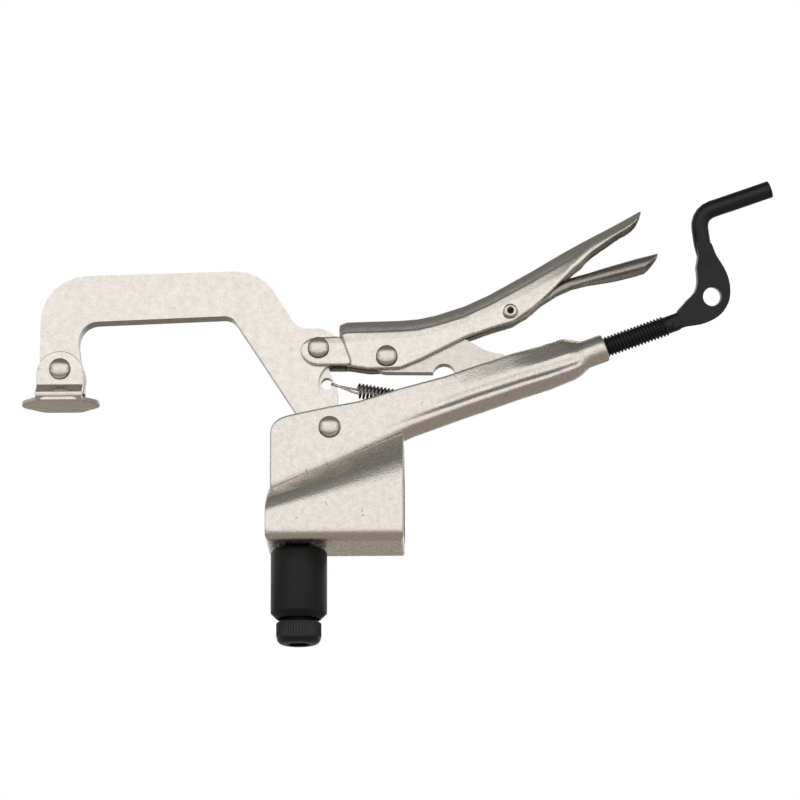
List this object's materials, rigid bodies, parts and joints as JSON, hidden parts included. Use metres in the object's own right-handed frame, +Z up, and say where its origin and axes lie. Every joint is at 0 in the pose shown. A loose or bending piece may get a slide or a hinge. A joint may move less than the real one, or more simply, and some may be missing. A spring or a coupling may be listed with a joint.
{
  "type": "locking_pliers_clamp",
  "caption": "Locking pliers clamp with a C jaw and a swivel pad, on a folded bracket with a sleeve and screw that fix it in a 16 mm hole of a welding table",
  "frame": {"origin": "on the locating sleeve's axis, at the underside of the bracket", "axes": "+Z up, +X from the jaw's side towards the crank, +Y along the pivots"},
  "size_m": [0.2156, 0.029, 0.1329],
  "materials": {
    "satin_nickel": "satin nickel plate, fine grain",
    "bright_nickel": "polished nickel plate",
    "black_oxide": "black oxide, satin"
  },
  "bodies": {
    "base": {"fixed_handle": "satin_nickel", "mounting_bracket": "satin_nickel", "locating_sleeve": "black_oxide", "cap_screw": "black_oxide", "washer": "satin_nickel", "hex_nut": "satin_nickel", "main_rivet": "bright_nickel", "tension_spring": "black_oxide"},
    "jaw": {"jaw_arm": "satin_nickel", "pad_rivet": "bright_nickel", "jaw_lever_rivet": "bright_nickel"},
    "pad": {"swivel_pad": "satin_nickel"},
    "lever": {"lever_handle": "satin_nickel", "link_rivet": "bright_nickel", "release_rivet": "bright_nickel"},
    "release": {"release_lever": "satin_nickel"},
    "link": {"toggle_link": "satin_nickel"},
    "screw": {"adjusting_screw": "black_oxide"}
  },
  "joints": [
    {"name": "jaw_swing", "type": "hinge", "parent": "base", "child": "jaw", "pos_m": [0.0088, 0, 0.0343], "axis": [0, 1, 0], "range_deg": [0, 25], "deforming": ["tension_spring"]},
    {"name": "pad_swivel", "type": "hinge", "parent": "jaw", "child": "pad", "pos_m": [-0.0682, 0, 0.0518], "axis": [0, 1, 0], "range_deg": [-20, 20]},
    {"name": "lever_swing", "type": "hinge", "parent": "jaw", "child": "lever", "pos_m": [0.0056, 0, 0.0575], "axis": [0, 1, 0], "range_deg": [-70, 0]},
    {"name": "link_swing", "type": "hinge", "parent": "lever", "child": "link", "pos_m": [0.0251, 0, 0.0552], "axis": [0, 1, 0], "range_deg": [0, 70]},
    {"name": "release_press", "type": "hinge", "parent": "lever", "child": "release", "pos_m": [0.0605, 0, 0.0681], "axis": [0, 1, 0], "range_deg": [-6, 0]},
    {"name": "screw_turn", "type": "hinge", "parent": "base", "child": "screw", "pos_m": [0.08769, 0, 0.05812], "axis": [0.9409, 0, 0.3387], "continuous": true}
  ],
  "couplings": [
    {"joint": "lever_swing", "follows": "jaw_swing", "ratio": -2.8},
    {"joint": "link_swing", "follows": "jaw_swing", "ratio": 2.8}
  ]
}
